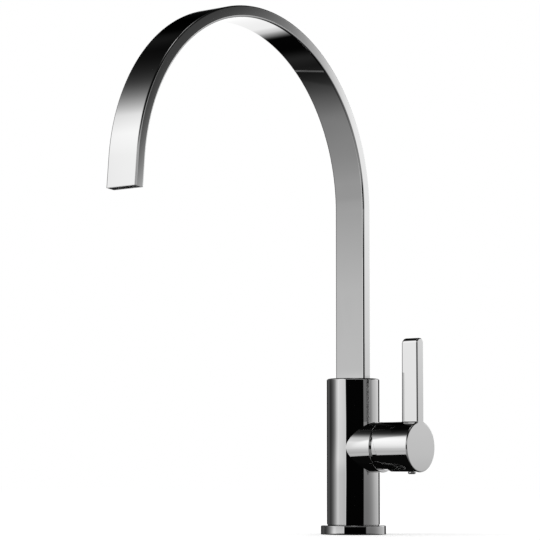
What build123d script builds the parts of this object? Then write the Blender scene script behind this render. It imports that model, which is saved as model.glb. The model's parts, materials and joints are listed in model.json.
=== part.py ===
from build123d import *
import os
from math import asin, degrees, hypot, radians, sin, cos

# Three way filtered water tap, in millimetres and degrees.
# Origin: centre of the flange's underside, on the worktop. +Z is up, the spout reaches
# towards -Y and the valve barrel with its lever points towards +X.

# ---- clearances ----
FIT = 0.05          # radial gap of a running or pushed-in fit
PLAY = 0.3          # free gap between curved faces that move past each other
TOUCH = 0.02        # gap between flat faces that slide on each other
CUT = 1.0           # how far a cutting solid runs past the face it opens

# ---- base on the worktop ----
FLANGE_R = 25.0
FLANGE_H = 7.04
FLANGE_EDGE = 0.9
LIP_R = 17.2        # locates the tap in a 35 mm worktop hole
LIP_DEPTH = 4.0
GASKET_INNER_R = 19.5
GASKET_W = 3.0
GASKET_T = 2.0

# ---- threaded shank and its clamp ----
SHANK_R = 16.0      # M32 thread, drawn plain
SHANK_BORE_R = 13.3
SHANK_DROP = 58.0
SHANK_GRIP = 9.0    # length screwed into the column
SHANK_CHAMFER = 1.0
WORKTOP_T = 30.0
WASHER_R = 24.5
WASHER_PLAY = 0.5
RUBBER_T = 3.0
STEEL_T = 2.0
NUT_FLATS = 41.0
NUT_H = 8.0

# ---- inlets ----
INLET_R = 4.5       # M10 x 1 tapped hole, drawn plain
INLET_DEPTH = 9.0
INLET_CIRCLE_R = 7.5
BLOCK_H = 14.0
FEED_R = 2.0
SEAL_R = 0.58       # half the thickness of the face seals
SEAL_GROOVE = 0.8
SEAL_STAND = 0.4    # gap that the face seals bridge
SEAL_LAND = 1.2     # from a port's wall to the middle of its seal
SEAL_GROOVE_W = 1.4

# ---- column ----
COLUMN_R = 20.36
COLUMN_TOP = 118.82
COLUMN_CHAMFER = 0.6
COLUMN_EDGE = 1.2

# ---- valve barrel ----
AXIS_Z = 66.14
BARREL_R = 19.12
HOUSING_END = 28.25
HOUSING_EDGE = 0.5
SLEEVE_R = 17.3     # cover dome, seen in the handle's relief
PIVOT_X = 33.0      # the lever tilts about this point, the dome's centre
LEVER_TILT = 24.0

# ---- handle ----
HANDLE_GAP = 0.65
HANDLE_FACE = 62.56
HANDLE_END_WALL = 5.0
HANDLE_EDGE = 0.7
RELIEF_X = 32.6     # where the slanted relief crosses the barrel's axis
RELIEF_ANGLE = 18.5
LEVER_W = 14.35
LEVER_T = 8.6
LEVER_TOP = 148.13
LEVER_ROUND = 3.6   # of its top, seen from the end
LEVER_CORNER = 1.8  # of its top towards the column
HUB_R = 9.0
HUB_X = 51.0
RIB_W = 10.0
PLUG_X = 54.3
PLUG_R = 3.05
PLUG_PROUD = 1.3
PLUG_DEPTH = 2.6
GRUB_R = 2.5
GRUB_LEN = 8.0
HEX_FLATS = 2.5
HEX_DEPTH = 3.0

# ---- cartridge ----
POCKET_X = 6.0
POCKET_R = 14.0
POCKET_PLAY = 0.1
CARTRIDGE_WALL = 1.35
BASE_T = 2.4
FIXED_DISC_T = 3.0
MOVING_DISC_T = 3.2
MOVING_DISC_R = 10.3
CARRIER_DISC_T = 3.7
CAVITY_END = 20.5
SHOULDER_X = 22.5
NECK_R = 10.9
NECK_END = 31.0
ROTOR_R = 9.5
ROTOR_FLANGE_R = 12.3
ROTOR_FLANGE_T = 1.4
ROTOR_END = 37.0
SLOT_W = 7.2
SLOT_H = 14.8
PIN_R = 2.0
RING_NUT_R = 15.45
RING_NUT_NOTCH = 3.0
MIXING_W = 9.0
MIXING_H = 5.0
MIXING_DEPTH = 1.5
DOME_WALL = 1.1

# ---- stem ----
STEM_W = 6.6
STEM_START = 29.5
STEM_END = 59.0
STEM_EDGE = 0.4
ARM = 7.5           # pivot to the ball that pushes the disc carrier
BALL_R = 2.5
BALL_PLAY = 0.1
TAIL_R = 1.8
FORK_WALL = 1.4
FORK_W = 6.4
FORK_FLOOR = 22.5
FORK_END = 27.0
ADAPTER_WALL = 1.35

# ---- ports on the cartridge's seat: y, height from the barrel's axis, radius ----
HOT = (7.0, -4.0, FEED_R)
COLD = (-7.0, -4.0, FEED_R)
FILTERED = (0.0, -9.0, FEED_R)
MIXED_OUT = (7.5, 5.0, 2.3)
FILTERED_OUT = (0.0, 9.0, FEED_R)
PORTS = [HOT, COLD, FILTERED, MIXED_OUT, FILTERED_OUT]
FEED_X = 1.5        # upright drillings beside the pocket's floor
BACK_X = -7.5       # upright drilling of the filtered inlet

# ---- spout ----
TUBE_W = 27.14
TUBE_T = 8.62
TUBE_CORNER = 1.4
TUBE_WALL = 1.25
TUBE_START = 112.0
RISER_TOP = 248.67
ARCH_R = 131.71
ARCH_SWEEP = 175.08
OUTLET_LEN = 21.24
INSERT_DEPTH = 3.0
INSERT_LEN = 10.0
INSERT_PLAY = 0.1
INSERT_SLOT_W = 7.0
INSERT_SLOT_T = 3.4
FILTER_TUBE_R = 2.4
FILTER_TUBE_BORE = 1.6

# ---- swivel ----
BORE_FLOOR = 88.0
SPIGOT_R = 13.0
SPIGOT_CUP_R = 10.4
CUP_TOP = 100.0
PLATE_T = 4.0
HEAD_SEAT = 110.0
HEAD_R = 16.95
CAP_T = 1.8
RISER_SLOT_W = 20.0
RISER_SLOT_T = 5.2
NIPPLE_R = 4.0
NIPPLE_BORE = 1.8
NIPPLE_FLOOR = 80.0
NIPPLE_TIP = 0.3
TUBE_SOCKET = 3.0
MIXED_HOLE_R = 2.4
MIXED_HOLE_X = 7.5
O_RING_R = 0.8
O_RING_Z = (93.5, 97.0)
NIPPLE_RING_R = 0.6
NIPPLE_RING_Z = 83.5
SLIDE_RING_T = 0.9
SLIDE_RING_H = 3.0
SLIDE_RING_Z = (89.2, 105.6)
STOP_Z = 102.0
STOP_SCREW_R = 2.0
STOP_TIP_R = 1.4
STOP_TIP_DEPTH = 1.5
STOP_RECESS = 1.0
SWIVEL = 60.0       # to each side
STOP_SLACK = 3.0    # degrees of groove left over at each stop

BOTTOM = (Align.CENTER, Align.CENTER, Align.MIN)


# ---- solids along an axis ----
def upright(radius, low, high, x=0.0, y=0.0):
    """A cylinder along Z from low to high."""
    return Pos(x, y, low) * Cylinder(radius, high - low, align=BOTTOM)


def along_x(radius, start, end, y=0.0, rise=0.0):
    """A cylinder along X, placed from the barrel's axis."""
    return Location((start, y, AXIS_Z + rise), (0, 90, 0)) * Cylinder(radius, end - start, align=BOTTOM)


def along_y(radius, start, end, x, z):
    """A cylinder along Y."""
    return Location((x, start, z), (-90, 0, 0)) * Cylinder(radius, end - start, align=BOTTOM)


def block(x_range, y_range, z_range):
    """A box between pairs of coordinates."""
    spans = [x_range, y_range, z_range]
    middle = [(low + high) / 2 for low, high in spans]
    size = [high - low for low, high in spans]
    return Pos(*middle) * Box(*size)


def half(width):
    return (-width / 2, width / 2)


def around_axis(width):
    """A height range centred on the barrel's axis."""
    return (AXIS_Z - width / 2, AXIS_Z + width / 2)


def ring_z(radius, section, z, x=0.0, y=0.0):
    """An O-ring lying flat."""
    return Pos(x, y, z) * Torus(radius, section)


def edges_at(solid, axis, value, reach=0.01):
    """The edges whose whole length lies at one coordinate."""
    return solid.edges().filter_by_position(axis, value - reach, value + reach)


# ---- levels and places that follow from the sizes above ----
SHANK_TOP = FLANGE_H + SHANK_GRIP
BLOCK_TOP = SHANK_TOP + BLOCK_H
INLET_TOP = SHANK_TOP + INLET_DEPTH
BASE_X = POCKET_X + SEAL_STAND
FIXED_X = BASE_X + BASE_T
MOVING_X = FIXED_X + FIXED_DISC_T + TOUCH
CARRIER_X = MOVING_X + MOVING_DISC_T
CARTRIDGE_R = POCKET_R - POCKET_PLAY
CARTRIDGE_BORE = CARTRIDGE_R - CARTRIDGE_WALL
ROTOR_X = CAVITY_END - ROTOR_FLANGE_T - POCKET_PLAY
HANDLE_REAR = HOUSING_END + HANDLE_GAP
HANDLE_BORE = SLEEVE_R + PLAY
HANDLE_INNER_END = HANDLE_FACE - HANDLE_END_WALL
DISC_TRAVEL = ARM * sin(radians(LEVER_TILT))
DISC_Z = -DISC_TRAVEL / 2
STEM_HOLE = STEM_W + 2 * FIT
ADAPTER_W = STEM_HOLE + 2 * ADAPTER_WALL
HUB_HOLE = ADAPTER_W + 2 * FIT
HUB_HOLE_END = STEM_END + PLAY
PLATE_TOP = CUP_TOP + PLATE_T
CAP_Z = COLUMN_TOP - CAP_T
TUBE_INNER_W = TUBE_W - 2 * TUBE_WALL
TUBE_INNER_T = TUBE_T - 2 * TUBE_WALL
SPIGOT_BORE = SPIGOT_R + FIT
HEAD_BORE = HEAD_R + FIT

INLETS = [
    (Vector(INLET_CIRCLE_R, 0, 0).rotate(Axis.Z, 60), FEED_X, HOT),
    (Vector(INLET_CIRCLE_R, 0, 0).rotate(Axis.Z, -60), FEED_X, COLD),
    (Vector(INLET_CIRCLE_R, 0, 0).rotate(Axis.Z, 180), BACK_X, FILTERED),
]


# ---- base, shank and clamp ----
def base_flange():
    disc = upright(FLANGE_R, 0, FLANGE_H)
    disc = fillet(edges_at(disc, Axis.Z, FLANGE_H), FLANGE_EDGE)
    lip = upright(LIP_R, -LIP_DEPTH, CUT)
    bore = upright(SHANK_R + FIT, -LIP_DEPTH - CUT, FLANGE_H + CUT)
    groove_outer = upright(GASKET_INNER_R + GASKET_W, -CUT, GASKET_T)
    groove_inner = upright(GASKET_INNER_R, -CUT, GASKET_T)
    return disc + lip - bore - (groove_outer - groove_inner)


def base_gasket():
    outer = upright(GASKET_INNER_R + GASKET_W - FIT, 0, GASKET_T)
    return outer - upright(GASKET_INNER_R + FIT, -CUT, GASKET_T + CUT)


def threaded_shank():
    outer = upright(SHANK_R, -SHANK_DROP, SHANK_TOP)
    outer = chamfer(edges_at(outer, Axis.Z, -SHANK_DROP), SHANK_CHAMFER)
    return outer - upright(SHANK_BORE_R, -SHANK_DROP - CUT, SHANK_TOP + CUT)


def inlet_block():
    body = upright(SHANK_R, SHANK_TOP, BLOCK_TOP)
    for centre, feed_x, (feed_y, _, radius) in INLETS:
        body -= upright(INLET_R, SHANK_TOP - CUT, INLET_TOP, centre.X, centre.Y)
        body -= upright(radius, SHANK_TOP, BLOCK_TOP + CUT, feed_x, feed_y)
        land = radius + SEAL_LAND
        low = BLOCK_TOP - 2 * SEAL_R
        groove = upright(land + SEAL_GROOVE_W / 2, low, BLOCK_TOP + CUT, feed_x, feed_y)
        core = upright(land - SEAL_GROOVE_W / 2, low - CUT, BLOCK_TOP + 2 * CUT, feed_x, feed_y)
        body -= groove - core
    return body


def inlet_block_seals():
    rings = []
    for _, feed_x, (feed_y, _, radius) in INLETS:
        rings.append(ring_z(radius + SEAL_LAND, SEAL_R - TOUCH, BLOCK_TOP - SEAL_R, feed_x, feed_y))
    return Compound(children=rings)


def clamp_washer(top, thickness):
    outer = upright(WASHER_R, top - thickness, top)
    return outer - upright(SHANK_R + WASHER_PLAY, top - thickness - CUT, top + CUT)


def fixing_nut():
    top = -WORKTOP_T - RUBBER_T - STEEL_T
    hexagon = RegularPolygon(NUT_FLATS / 2, 6, major_radius=False)
    body = Pos(0, 0, top - NUT_H) * extrude(hexagon, NUT_H)
    return body - upright(SHANK_R + FIT, top - NUT_H - CUT, top + CUT)


# ---- column with its waterways ----
def waterways():
    """The drillings from the inlets to the cartridge's seat and from there to the spout."""
    cuts = []
    for _, feed_x, (y, rise, radius) in INLETS:
        cuts.append(upright(radius, BLOCK_TOP - CUT, AXIS_Z + rise, feed_x, y))
        cuts.append(along_x(radius, feed_x, POCKET_X + CUT, y, rise))
        cuts.append(Pos(feed_x, y, AXIS_Z + rise) * Sphere(radius))
    for x, (y, rise, radius) in [(FEED_X, MIXED_OUT), (0.0, FILTERED_OUT)]:
        cuts.append(upright(radius, AXIS_Z + rise, BORE_FLOOR + CUT, x, y))
        cuts.append(along_x(radius, x, POCKET_X + CUT, y, rise))
        cuts.append(Pos(x, y, AXIS_Z + rise) * Sphere(radius))
    return cuts


def column_body():
    column = upright(COLUMN_R, FLANGE_H, COLUMN_TOP)
    column = chamfer(edges_at(column, Axis.Z, FLANGE_H), COLUMN_CHAMFER)
    column = fillet(edges_at(column, Axis.Z, COLUMN_TOP), COLUMN_EDGE)
    barrel = along_x(BARREL_R, 0, HOUSING_END)
    body = column + fillet(edges_at(barrel, Axis.X, HOUSING_END), HOUSING_EDGE)
    body -= upright(SHANK_R + FIT, FLANGE_H - CUT, BLOCK_TOP)
    body -= along_x(POCKET_R, POCKET_X, HOUSING_END + CUT)
    body -= along_x(RING_NUT_R + FIT, SHOULDER_X, HOUSING_END + CUT)
    for cut in waterways():
        body -= cut
    body -= upright(NIPPLE_R + FIT, NIPPLE_FLOOR, BORE_FLOOR + CUT)
    body -= upright(SPIGOT_BORE, BORE_FLOOR, COLUMN_TOP + CUT)
    body -= upright(HEAD_BORE, HEAD_SEAT, COLUMN_TOP + CUT)
    return body - along_y(STOP_SCREW_R + FIT, SPIGOT_R - CUT, COLUMN_R + CUT, 0, STOP_Z)


def spout_retaining_screw():
    face = COLUMN_R - STOP_RECESS
    seat = SPIGOT_BORE + FIT
    screw = along_y(STOP_SCREW_R, seat, face, 0, STOP_Z)
    screw += along_y(STOP_TIP_R, SPIGOT_R - STOP_TIP_DEPTH + PLAY, seat + CUT, 0, STOP_Z)
    return screw - hex_socket(Plane((0, face, STOP_Z), z_dir=(0, -1, 0)))


def hex_socket(plane):
    """The hole for a hexagon key, from a screw's face inwards."""
    hexagon = plane * RegularPolygon(HEX_FLATS / 2, 6, major_radius=False)
    return extrude(hexagon, HEX_DEPTH, dir=plane.z_dir)


# ---- cartridge ----
def through_ports(body, start, end):
    for y, rise, radius in PORTS:
        body -= along_x(radius, start - CUT, end + CUT, y, rise)
    return body


def cartridge_base():
    body = through_ports(along_x(CARTRIDGE_R, BASE_X, FIXED_X), BASE_X, FIXED_X)
    for y, rise, radius in PORTS:
        land = radius + SEAL_LAND
        end = BASE_X + SEAL_GROOVE
        groove = along_x(land + SEAL_GROOVE_W / 2, BASE_X - CUT, end, y, rise)
        body -= groove - along_x(land - SEAL_GROOVE_W / 2, BASE_X - 2 * CUT, end + CUT, y, rise)
    return body


def cartridge_base_seals():
    rings = []
    middle = POCKET_X + (SEAL_STAND + SEAL_GROOVE) / 2
    for y, rise, radius in PORTS:
        place = Location((middle, y, AXIS_Z + rise), (0, 90, 0))
        rings.append(place * Torus(radius + SEAL_LAND, SEAL_R))
    return Compound(children=rings)


def fixed_ceramic_disc():
    end = FIXED_X + FIXED_DISC_T
    return through_ports(along_x(CARTRIDGE_BORE - FIT, FIXED_X, end), FIXED_X, end)


def moving_ceramic_disc():
    body = along_x(MOVING_DISC_R, MOVING_X, CARRIER_X, 0, DISC_Z)
    depth = (MOVING_X - CUT, MOVING_X + MIXING_DEPTH)
    return body - Pos(0, 0, DISC_Z) * block(depth, half(MIXING_W), around_axis(MIXING_H))


def disc_carrier():
    disc_end = CARRIER_X + CARRIER_DISC_T
    body = along_x(MOVING_DISC_R, CARRIER_X, disc_end, 0, DISC_Z)
    slot_h = 2 * (BALL_R + BALL_PLAY)
    fork = block((disc_end - CUT, FORK_END), half(FORK_W), around_axis(slot_h + 2 * FORK_WALL))
    return body + fork - block((FORK_FLOOR, FORK_END + CUT), half(FORK_W + CUT), around_axis(slot_h))


def cartridge_housing():
    body = along_x(CARTRIDGE_R, FIXED_X, SHOULDER_X) + along_x(NECK_R, SHOULDER_X - CUT, NECK_END)
    body -= along_x(CARTRIDGE_BORE, FIXED_X - CUT, CAVITY_END)
    return body - along_x(ROTOR_R + FIT, CAVITY_END - CUT, NECK_END + CUT)


def cartridge_retaining_nut():
    body = along_x(RING_NUT_R, SHOULDER_X, PIVOT_X)
    body -= along_x(NECK_R + POCKET_PLAY, SHOULDER_X - CUT, PIVOT_X + CUT)
    depth = (PIVOT_X - RING_NUT_NOTCH, PIVOT_X + CUT)
    body -= block(depth, half(2 * RING_NUT_R + CUT), around_axis(RING_NUT_NOTCH))
    return body - block(depth, half(RING_NUT_NOTCH), around_axis(2 * RING_NUT_R + CUT))


def stem_carrier():
    body = along_x(ROTOR_FLANGE_R, ROTOR_X, ROTOR_X + ROTOR_FLANGE_T)
    body += along_x(ROTOR_R, ROTOR_X, ROTOR_END)
    body -= block((ROTOR_X - CUT, ROTOR_END + CUT), half(SLOT_W), around_axis(SLOT_H))
    return body - along_y(PIN_R, -ROTOR_R, ROTOR_R, PIVOT_X, AXIS_Z)


def stem_pivot_pin():
    return along_y(PIN_R - TOUCH, PLAY - ROTOR_R, ROTOR_R - PLAY, PIVOT_X, AXIS_Z)


def cartridge_stem():
    bar = block((STEM_START, STEM_END), half(STEM_W), around_axis(STEM_W))
    bar = chamfer(bar.edges().filter_by(Axis.X), STEM_EDGE)
    ball_x = PIVOT_X - ARM
    tail = along_x(TAIL_R, ball_x, STEM_START + CUT)
    ball = Pos(ball_x, 0, AXIS_Z) * Sphere(BALL_R)
    return bar + tail + ball - along_y(PIN_R + FIT, -STEM_W, STEM_W, PIVOT_X, AXIS_Z)


def cover_dome():
    """A sleeve round the retaining nut that ends in a ball, so the tilting handle stays clear of it."""
    outer = along_x(SLEEVE_R, HOUSING_END, PIVOT_X) + Pos(PIVOT_X, 0, AXIS_Z) * Sphere(SLEEVE_R)
    body = outer - block((-BARREL_R, HOUSING_END), half(2 * BARREL_R), around_axis(2 * BARREL_R))
    body -= along_x(RING_NUT_R + FIT, HOUSING_END - CUT, PIVOT_X + PLAY)
    body -= Pos(PIVOT_X, 0, AXIS_Z) * Sphere(SLEEVE_R - DOME_WALL) - along_x(BARREL_R, 0, PIVOT_X)
    swing = LEVER_TILT + degrees(asin(hypot(STEM_W, STEM_W) / 2 / SLEEVE_R))
    opening = SLEEVE_R * sin(radians(swing)) + 2 * PLAY
    return body - along_x(opening, PIVOT_X, PIVOT_X + SLEEVE_R + CUT)


# ---- handle ----
def lever_bar():
    """The upright bar: its end view and its side view, cut from each other."""
    height = LEVER_TOP - AXIS_Z
    base = (Align.CENTER, Align.MIN)
    end_view = Pos(0, 0, AXIS_Z) * (Plane.YZ * Rectangle(LEVER_T, height, align=base))
    end_view = fillet(end_view.vertices().group_by(Axis.Z)[-1], LEVER_ROUND)
    side_view = Plane.XZ * Rectangle(LEVER_W, height, align=base)
    side_view = Pos(HANDLE_FACE - LEVER_W / 2, 0, AXIS_Z) * side_view
    inner_corner = side_view.vertices().group_by(Axis.Z)[-1].sort_by(Axis.X)[0]
    side_view = fillet(inner_corner, LEVER_CORNER)
    return extrude(end_view, HANDLE_FACE, dir=(1, 0, 0)) & extrude(side_view, LEVER_T, both=True)


def handle():
    body = along_x(BARREL_R, HANDLE_REAR, HANDLE_FACE) + lever_bar()
    body = fillet(edges_at(body, Axis.X, HANDLE_FACE), HANDLE_EDGE)
    body -= along_x(HANDLE_BORE, HANDLE_REAR - CUT, HANDLE_INNER_END)
    hub = along_x(HUB_R, HUB_X, HANDLE_INNER_END + CUT)
    rib = block((HUB_X, HANDLE_INNER_END + CUT), half(RIB_W), (AXIS_Z - HANDLE_BORE - FIT, AXIS_Z))
    body += hub + rib
    body -= block((HUB_X - CUT, HUB_HOLE_END), half(HUB_HOLE), around_axis(HUB_HOLE))
    body -= upright(GRUB_R + FIT, AXIS_Z - BARREL_R, AXIS_Z, PLUG_X)
    body -= upright(PLUG_R + FIT, AXIS_Z - BARREL_R - CUT, plug_seat(), PLUG_X)
    return body - relief_wedge()


def plug_seat():
    """Where the plug's hole narrows to the grub screw's thread."""
    return AXIS_Z - BARREL_R + PLUG_DEPTH


def relief_wedge():
    """The slanted cut behind the handle that lets it tilt past the housing."""
    size = 4 * BARREL_R
    wedge = Box(size, size, size, align=(Align.MAX, Align.CENTER, Align.CENTER))
    wedge = Location((RELIEF_X, 0, AXIS_Z), (0, -RELIEF_ANGLE, 0)) * wedge
    return wedge - block((HANDLE_REAR - size, HANDLE_REAR), half(2 * size), around_axis(2 * size))


def handle_plug():
    low = AXIS_Z - BARREL_R - PLUG_PROUD
    plug = upright(PLUG_R, low, plug_seat(), PLUG_X)
    return fillet(edges_at(plug, Axis.Z, low), PLUG_PROUD - PLAY)


def handle_grub_screw():
    top = AXIS_Z - STEM_W / 2
    screw = upright(GRUB_R, top - GRUB_LEN, top, PLUG_X)
    return screw - hex_socket(Plane((PLUG_X, 0, top - GRUB_LEN), z_dir=(0, 0, 1)))


def stem_adapter():
    span = (HUB_X + PLAY, STEM_END)
    body = block(span, half(ADAPTER_W), around_axis(ADAPTER_W))
    body -= block((HUB_X, STEM_END + CUT), half(STEM_HOLE), around_axis(STEM_HOLE))
    return body - upright(GRUB_R + FIT, AXIS_Z - ADAPTER_W, AXIS_Z, PLUG_X)


# ---- spout ----
def outlet_plane(back=0.0):
    """The plane across the outlet, its Z along the tube, at a distance back from the mouth."""
    turn = radians(ARCH_SWEEP)
    ahead = OUTLET_LEN - back
    y = ARCH_R * (cos(turn) - 1) - sin(turn) * ahead
    z = RISER_TOP + ARCH_R * sin(turn) + cos(turn) * ahead
    return Plane((0, y, z), x_dir=(1, 0, 0), z_dir=(0, -sin(turn), cos(turn)))


def bent_bar(section, start, back):
    """A section carried up the riser, round the arch and down to the outlet."""
    riser = Pos(0, 0, start) * extrude(section, RISER_TOP - start)
    arch_axis = Axis((0, -ARCH_R, RISER_TOP), (1, 0, 0))
    arch = revolve(Pos(0, 0, RISER_TOP) * section, arch_axis, ARCH_SWEEP)
    outlet = extrude(outlet_plane(OUTLET_LEN) * section, OUTLET_LEN - back)
    return riser + arch + outlet


def flat_section(width, thickness, corner):
    return RectangleRounded(width, thickness, corner)


def spout_tube():
    inner_corner = max(TUBE_CORNER - TUBE_WALL, FIT)
    section = flat_section(TUBE_W, TUBE_T, TUBE_CORNER)
    section -= flat_section(TUBE_INNER_W, TUBE_INNER_T, inner_corner)
    return bent_bar(section, TUBE_START, 0)


def filtered_water_tube():
    section = Circle(FILTER_TUBE_R) - Circle(FILTER_TUBE_BORE)
    return bent_bar(section, PLATE_TOP - TUBE_SOCKET, INSERT_DEPTH)


def outlet_insert():
    width = TUBE_INNER_W - 2 * INSERT_PLAY
    thickness = TUBE_INNER_T - 2 * INSERT_PLAY
    section = flat_section(width, thickness, INSERT_PLAY)
    section -= Circle(FILTER_TUBE_R + FIT)
    reach = FILTER_TUBE_R + FIT + TUBE_WALL + INSERT_SLOT_W / 2
    for x in (-reach, reach):
        section -= Pos(x, 0) * SlotOverall(INSERT_SLOT_W, INSERT_SLOT_T)
    return extrude(outlet_plane(INSERT_DEPTH + INSERT_LEN) * section, INSERT_LEN)


def swivel_cap():
    body = upright(HEAD_R, CAP_Z, COLUMN_TOP)
    return body - block(half(TUBE_W + 2 * FIT), half(TUBE_T + 2 * FIT), (CAP_Z - CUT, COLUMN_TOP + CUT))


def groove_z(radius, depth, low, high):
    """A ring to cut from the outside of an upright shaft."""
    return upright(radius + CUT, low, high) - upright(radius - depth, low - CUT, high + CUT)


def stop_groove():
    """The part-round groove in which the retaining screw's tip runs, which stops the swivel."""
    reach = SWIVEL + STOP_SLACK + degrees(asin(STOP_TIP_R / (SPIGOT_R - STOP_TIP_DEPTH)))
    width = 2 * (STOP_TIP_R + PLAY)
    profile = Plane.XZ * Pos(SPIGOT_R, STOP_Z) * Rectangle(2 * STOP_TIP_DEPTH, width)
    return Rot(0, 0, 90 - reach) * revolve(profile, Axis.Z, 2 * reach)


def spout_foot():
    tip = BORE_FLOOR + PLAY
    body = upright(SPIGOT_R, tip, HEAD_SEAT + CUT)
    body += upright(HEAD_R, HEAD_SEAT + TOUCH, CAP_Z)
    body -= upright(SPIGOT_CUP_R, tip - CUT, CUP_TOP)
    body += upright(NIPPLE_R, NIPPLE_FLOOR + NIPPLE_TIP, CUP_TOP + CUT)
    body -= upright(NIPPLE_BORE, NIPPLE_FLOOR - CUT, PLATE_TOP)
    body -= upright(FILTER_TUBE_R + FIT, PLATE_TOP - TUBE_SOCKET, PLATE_TOP + CUT)
    for x in (-MIXED_HOLE_X, MIXED_HOLE_X):
        body -= upright(MIXED_HOLE_R, CUP_TOP - CUT, PLATE_TOP + CUT, x)
    body -= block(half(RISER_SLOT_W), half(RISER_SLOT_T), (PLATE_TOP, CAP_Z + CUT))
    body -= block(half(TUBE_W + 2 * FIT), half(TUBE_T + 2 * FIT), (TUBE_START, CAP_Z + CUT))
    for z in O_RING_Z:
        body -= groove_z(SPIGOT_R, 2 * O_RING_R, z - O_RING_R - FIT, z + O_RING_R + FIT)
    for z in SLIDE_RING_Z:
        body -= groove_z(SPIGOT_R, SLIDE_RING_T, z, z + SLIDE_RING_H)
    ring_low = NIPPLE_RING_Z - NIPPLE_RING_R - FIT
    body -= groove_z(NIPPLE_R, 2 * NIPPLE_RING_R, ring_low, ring_low + 2 * (NIPPLE_RING_R + FIT))
    return body - stop_groove()


def spigot_o_rings():
    rings = [ring_z(SPIGOT_R - O_RING_R, O_RING_R - TOUCH, z) for z in O_RING_Z]
    return Compound(children=rings)


def nipple_o_ring():
    return ring_z(NIPPLE_R - NIPPLE_RING_R, NIPPLE_RING_R - TOUCH, NIPPLE_RING_Z)


def slide_rings():
    rings = []
    for z in SLIDE_RING_Z:
        low, high = z + TOUCH, z + SLIDE_RING_H - TOUCH
        bore = upright(SPIGOT_R - SLIDE_RING_T + TOUCH, low - CUT, high + CUT)
        rings.append(upright(SPIGOT_R, low, high) - bore)
    return Compound(children=rings)


NODES = {
    "column_body": column_body,
    "base_flange": base_flange,
    "base_gasket": base_gasket,
    "threaded_shank": threaded_shank,
    "inlet_block": inlet_block,
    "inlet_block_seals": inlet_block_seals,
    "cartridge_base": cartridge_base,
    "cartridge_base_seals": cartridge_base_seals,
    "fixed_ceramic_disc": fixed_ceramic_disc,
    "cartridge_housing": cartridge_housing,
    "cartridge_retaining_nut": cartridge_retaining_nut,
    "cover_dome": cover_dome,
    "spout_retaining_screw": spout_retaining_screw,
    "spout_tube": spout_tube,
    "spout_foot": spout_foot,
    "swivel_cap": swivel_cap,
    "spigot_o_rings": spigot_o_rings,
    "nipple_o_ring": nipple_o_ring,
    "slide_rings": slide_rings,
    "filtered_water_tube": filtered_water_tube,
    "outlet_insert": outlet_insert,
    "stem_carrier": stem_carrier,
    "stem_pivot_pin": stem_pivot_pin,
    "disc_carrier": disc_carrier,
    "moving_ceramic_disc": moving_ceramic_disc,
    "handle": handle,
    "cartridge_stem": cartridge_stem,
    "stem_adapter": stem_adapter,
    "handle_grub_screw": handle_grub_screw,
    "handle_plug": handle_plug,
    "clamp_rubber_washer": lambda: clamp_washer(-WORKTOP_T, RUBBER_T),
    "clamp_steel_washer": lambda: clamp_washer(-WORKTOP_T - RUBBER_T, STEEL_T),
    "fixing_nut": fixing_nut,
}

os.makedirs("parts", exist_ok=True)
for name, make in NODES.items():
    export_step(make(), f"parts/{name}.step")
print(len(NODES), "nodes, disc travel", round(DISC_TRAVEL, 3), "mm")
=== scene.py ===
# %% [markdown]
# # A kitchen tap with filtered water, dressed for its portrait
#
# The tap is a polished chrome swan neck: a round column, a flat rectangular spout bent
# into a tall arch, and a side lever. Its measured solids come in as a fixed frame, and
# this lesson gives them their finish: a studio for the chrome to mirror, finer pieces
# where the plain solids stop short, and a material for every part, also those inside.

# %% Load the measured frame
import json
from math import cos, pi, radians, sin, tan

import bmesh
import bpy
from mathutils import Matrix, Vector

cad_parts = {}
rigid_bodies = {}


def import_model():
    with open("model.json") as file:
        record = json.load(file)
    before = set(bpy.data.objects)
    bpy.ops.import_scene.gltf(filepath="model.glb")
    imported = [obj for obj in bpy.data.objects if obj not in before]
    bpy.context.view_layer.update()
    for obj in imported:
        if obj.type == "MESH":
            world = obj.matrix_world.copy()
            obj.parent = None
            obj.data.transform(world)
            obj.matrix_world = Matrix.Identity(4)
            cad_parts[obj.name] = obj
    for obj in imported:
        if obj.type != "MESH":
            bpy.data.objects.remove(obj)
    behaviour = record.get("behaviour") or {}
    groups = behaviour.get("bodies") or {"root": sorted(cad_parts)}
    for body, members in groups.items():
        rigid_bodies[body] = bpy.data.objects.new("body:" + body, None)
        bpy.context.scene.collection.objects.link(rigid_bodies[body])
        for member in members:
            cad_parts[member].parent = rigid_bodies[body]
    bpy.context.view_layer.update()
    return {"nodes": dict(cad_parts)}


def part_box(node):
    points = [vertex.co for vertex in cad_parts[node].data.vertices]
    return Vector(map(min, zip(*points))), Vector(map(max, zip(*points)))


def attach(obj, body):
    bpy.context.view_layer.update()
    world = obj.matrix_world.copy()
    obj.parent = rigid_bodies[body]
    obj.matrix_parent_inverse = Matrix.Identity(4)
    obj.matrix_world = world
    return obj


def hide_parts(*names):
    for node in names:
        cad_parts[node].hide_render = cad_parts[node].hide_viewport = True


for leftover in list(bpy.data.objects):
    bpy.data.objects.remove(leftover)
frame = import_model()
MM = 0.001

# %% [markdown]
# ## The camera
#
# The picture was taken from the front right, with the lens barely above the worktop and
# tipped up, through a long lens. A long lens from far away keeps upright lines parallel.
# The camera is placed by its bearing round the tap, its distance and its height, and
# then aimed by pitch, yaw and roll.

# %% Camera
BEARING, DISTANCE, LENS_HEIGHT = radians(35.759), 1.65966, 0.040204
PITCH, YAW, ROLL = radians(5.613), radians(-2.212), radians(0.064)
LENS, SENSOR_WIDTH = 143.43, 36         # in millimetres, as on a real camera
FARTHEST_SEEN = 60

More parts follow.
